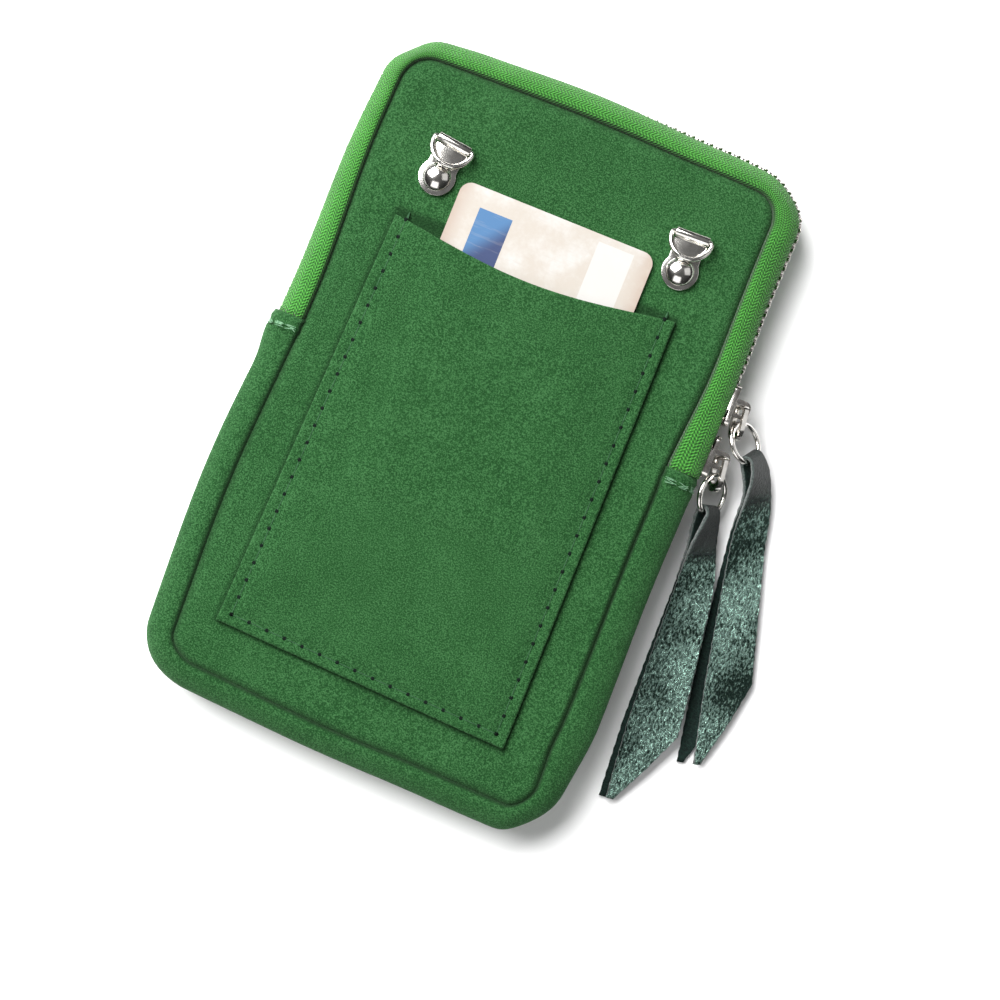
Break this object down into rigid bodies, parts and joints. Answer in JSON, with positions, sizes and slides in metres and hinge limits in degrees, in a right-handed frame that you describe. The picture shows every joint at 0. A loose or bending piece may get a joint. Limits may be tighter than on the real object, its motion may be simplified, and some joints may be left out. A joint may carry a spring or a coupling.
{
  "type": "zipped pouch with card pocket",
  "caption": "Flat zipped suede pouch with a stitched front card pocket, strap clips with folding rings and leather zip pulls.",
  "frame": {"origin": "middle of the rear face, on the surface that the pouch lies on", "axes": "+X towards the side with the two zip sliders, +Y towards the zipped top, +Z out of the front with the card pocket"},
  "size_m": [0.1532, 0.1854, 0.0221],
  "materials": {
    "suede": "napped suede",
    "zip_tape": "woven twill",
    "zip_metal": "bright nickel",
    "hardware": "polished nickel",
    "strap_leather": "crackled metallic foil",
    "dark_thread": "twisted thread",
    "mint_thread": "twisted thread",
    "card_plastic": "satin print"
  },
  "bodies": {
    "pouch": {"front_panel": "suede", "rear_panel": "suede", "gusset": "suede", "front_zip_tape": "zip_tape", "rear_zip_tape": "zip_tape", "front_zip_teeth": "zip_metal", "rear_zip_teeth": "zip_metal", "card_pocket": "suede", "pocket_stitching": "dark_thread", "hem_stitching": "mint_thread", "left_rivet": "hardware", "left_rivet_washer": "hardware", "right_rivet": "hardware", "right_rivet_washer": "hardware"},
    "card": {"card": "card_plastic"},
    "left_clip": {"left_clip_plate": "hardware"},
    "left_clip_ring": {"left_clip_ring": "hardware"},
    "right_clip": {"right_clip_plate": "hardware"},
    "right_clip_ring": {"right_clip_ring": "hardware"},
    "upper_slider": {"upper_slider": "zip_metal"},
    "upper_pull": {"upper_pull": "hardware"},
    "upper_ring": {"upper_ring": "hardware"},
    "upper_strap": {"upper_strap": "strap_leather", "upper_strap_thread": "dark_thread"},
    "lower_slider": {"lower_slider": "zip_metal"},
    "lower_pull": {"lower_pull": "hardware"},
    "lower_ring": {"lower_ring": "hardware"},
    "lower_strap": {"lower_strap": "strap_leather", "lower_strap_thread": "dark_thread"}
  },
  "joints": [
    {"name": "card_slide", "type": "slide", "parent": "pouch", "child": "card", "axis": [0, 1, 0], "range_m": [-0.037, 0.075]},
    {"name": "left_clip_swivel", "type": "hinge", "parent": "pouch", "child": "left_clip", "pos_m": [-0.034, 0.058, 0.018], "axis": [0, 0, 1], "range_deg": [-2.5, 70]},
    {"name": "left_clip_ring_hinge", "type": "hinge", "parent": "left_clip", "child": "left_clip_ring", "pos_m": [-0.03288, 0.06753, 0.01975], "axis": [-0.9932, 0.1167, 0], "range_deg": [0, 150]},
    {"name": "right_clip_swivel", "type": "hinge", "parent": "pouch", "child": "right_clip", "pos_m": [0.034, 0.0588, 0.018], "axis": [0, 0, 1], "range_deg": [-70, 9]},
    {"name": "right_clip_ring_hinge", "type": "hinge", "parent": "right_clip", "child": "right_clip_ring", "pos_m": [0.03367, 0.06839, 0.01975], "axis": [-0.9994, -0.0349, 0], "range_deg": [0, 150]},
    {"name": "upper_slide", "type": "slide", "parent": "pouch", "child": "upper_slider", "axis": [0, 1, 0], "range_m": [-0.0013, 0.04], "deforming": ["front_zip_teeth", "rear_zip_teeth"]},
    {"name": "upper_pull_hinge", "type": "hinge", "parent": "upper_slider", "child": "upper_pull", "pos_m": [0.0628, 0.03245, 0.009], "axis": [0.3741, 0.0526, 0.9259], "range_deg": [0, 45]},
    {"name": "upper_ring_hinge", "type": "hinge", "parent": "upper_pull", "child": "upper_ring", "pos_m": [0.06345, 0.0278, 0.009], "axis": [0.3741, 0.0526, 0.9259], "range_deg": [-46, 1]},
    {"name": "upper_strap_hinge", "type": "hinge", "parent": "upper_ring", "child": "upper_strap", "pos_m": [0.07064, 0.02061, 0.00756], "axis": [-0.4133, -0.5573, 0.7202], "range_deg": [-10, 40]},
    {"name": "lower_slide", "type": "slide", "parent": "pouch", "child": "lower_slider", "axis": [0, 1, 0], "range_m": [-0.001, 0.0013], "deforming": ["front_zip_teeth", "rear_zip_teeth"]},
    {"name": "lower_pull_hinge", "type": "hinge", "parent": "lower_slider", "child": "lower_pull", "pos_m": [0.0628, 0.01805, 0.009], "axis": [0.3741, 0.0526, 0.9259], "range_deg": [0, 36]},
    {"name": "lower_ring_hinge", "type": "hinge", "parent": "lower_pull", "child": "lower_ring", "pos_m": [0.06345, 0.0134, 0.009], "axis": [0.3741, 0.0526, 0.9259], "range_deg": [-37, 1]},
    {"name": "lower_strap_hinge", "type": "hinge", "parent": "lower_ring", "child": "lower_strap", "pos_m": [0.065, 0.00331, 0.00797], "axis": [-0.6242, -0.1733, 0.7618], "range_deg": [-10, 40]}
  ],
  "couplings": [
    {"joint": "upper_ring_hinge", "follows": "upper_pull_hinge", "ratio": -1},
    {"joint": "lower_ring_hinge", "follows": "lower_pull_hinge", "ratio": -1}
  ]
}
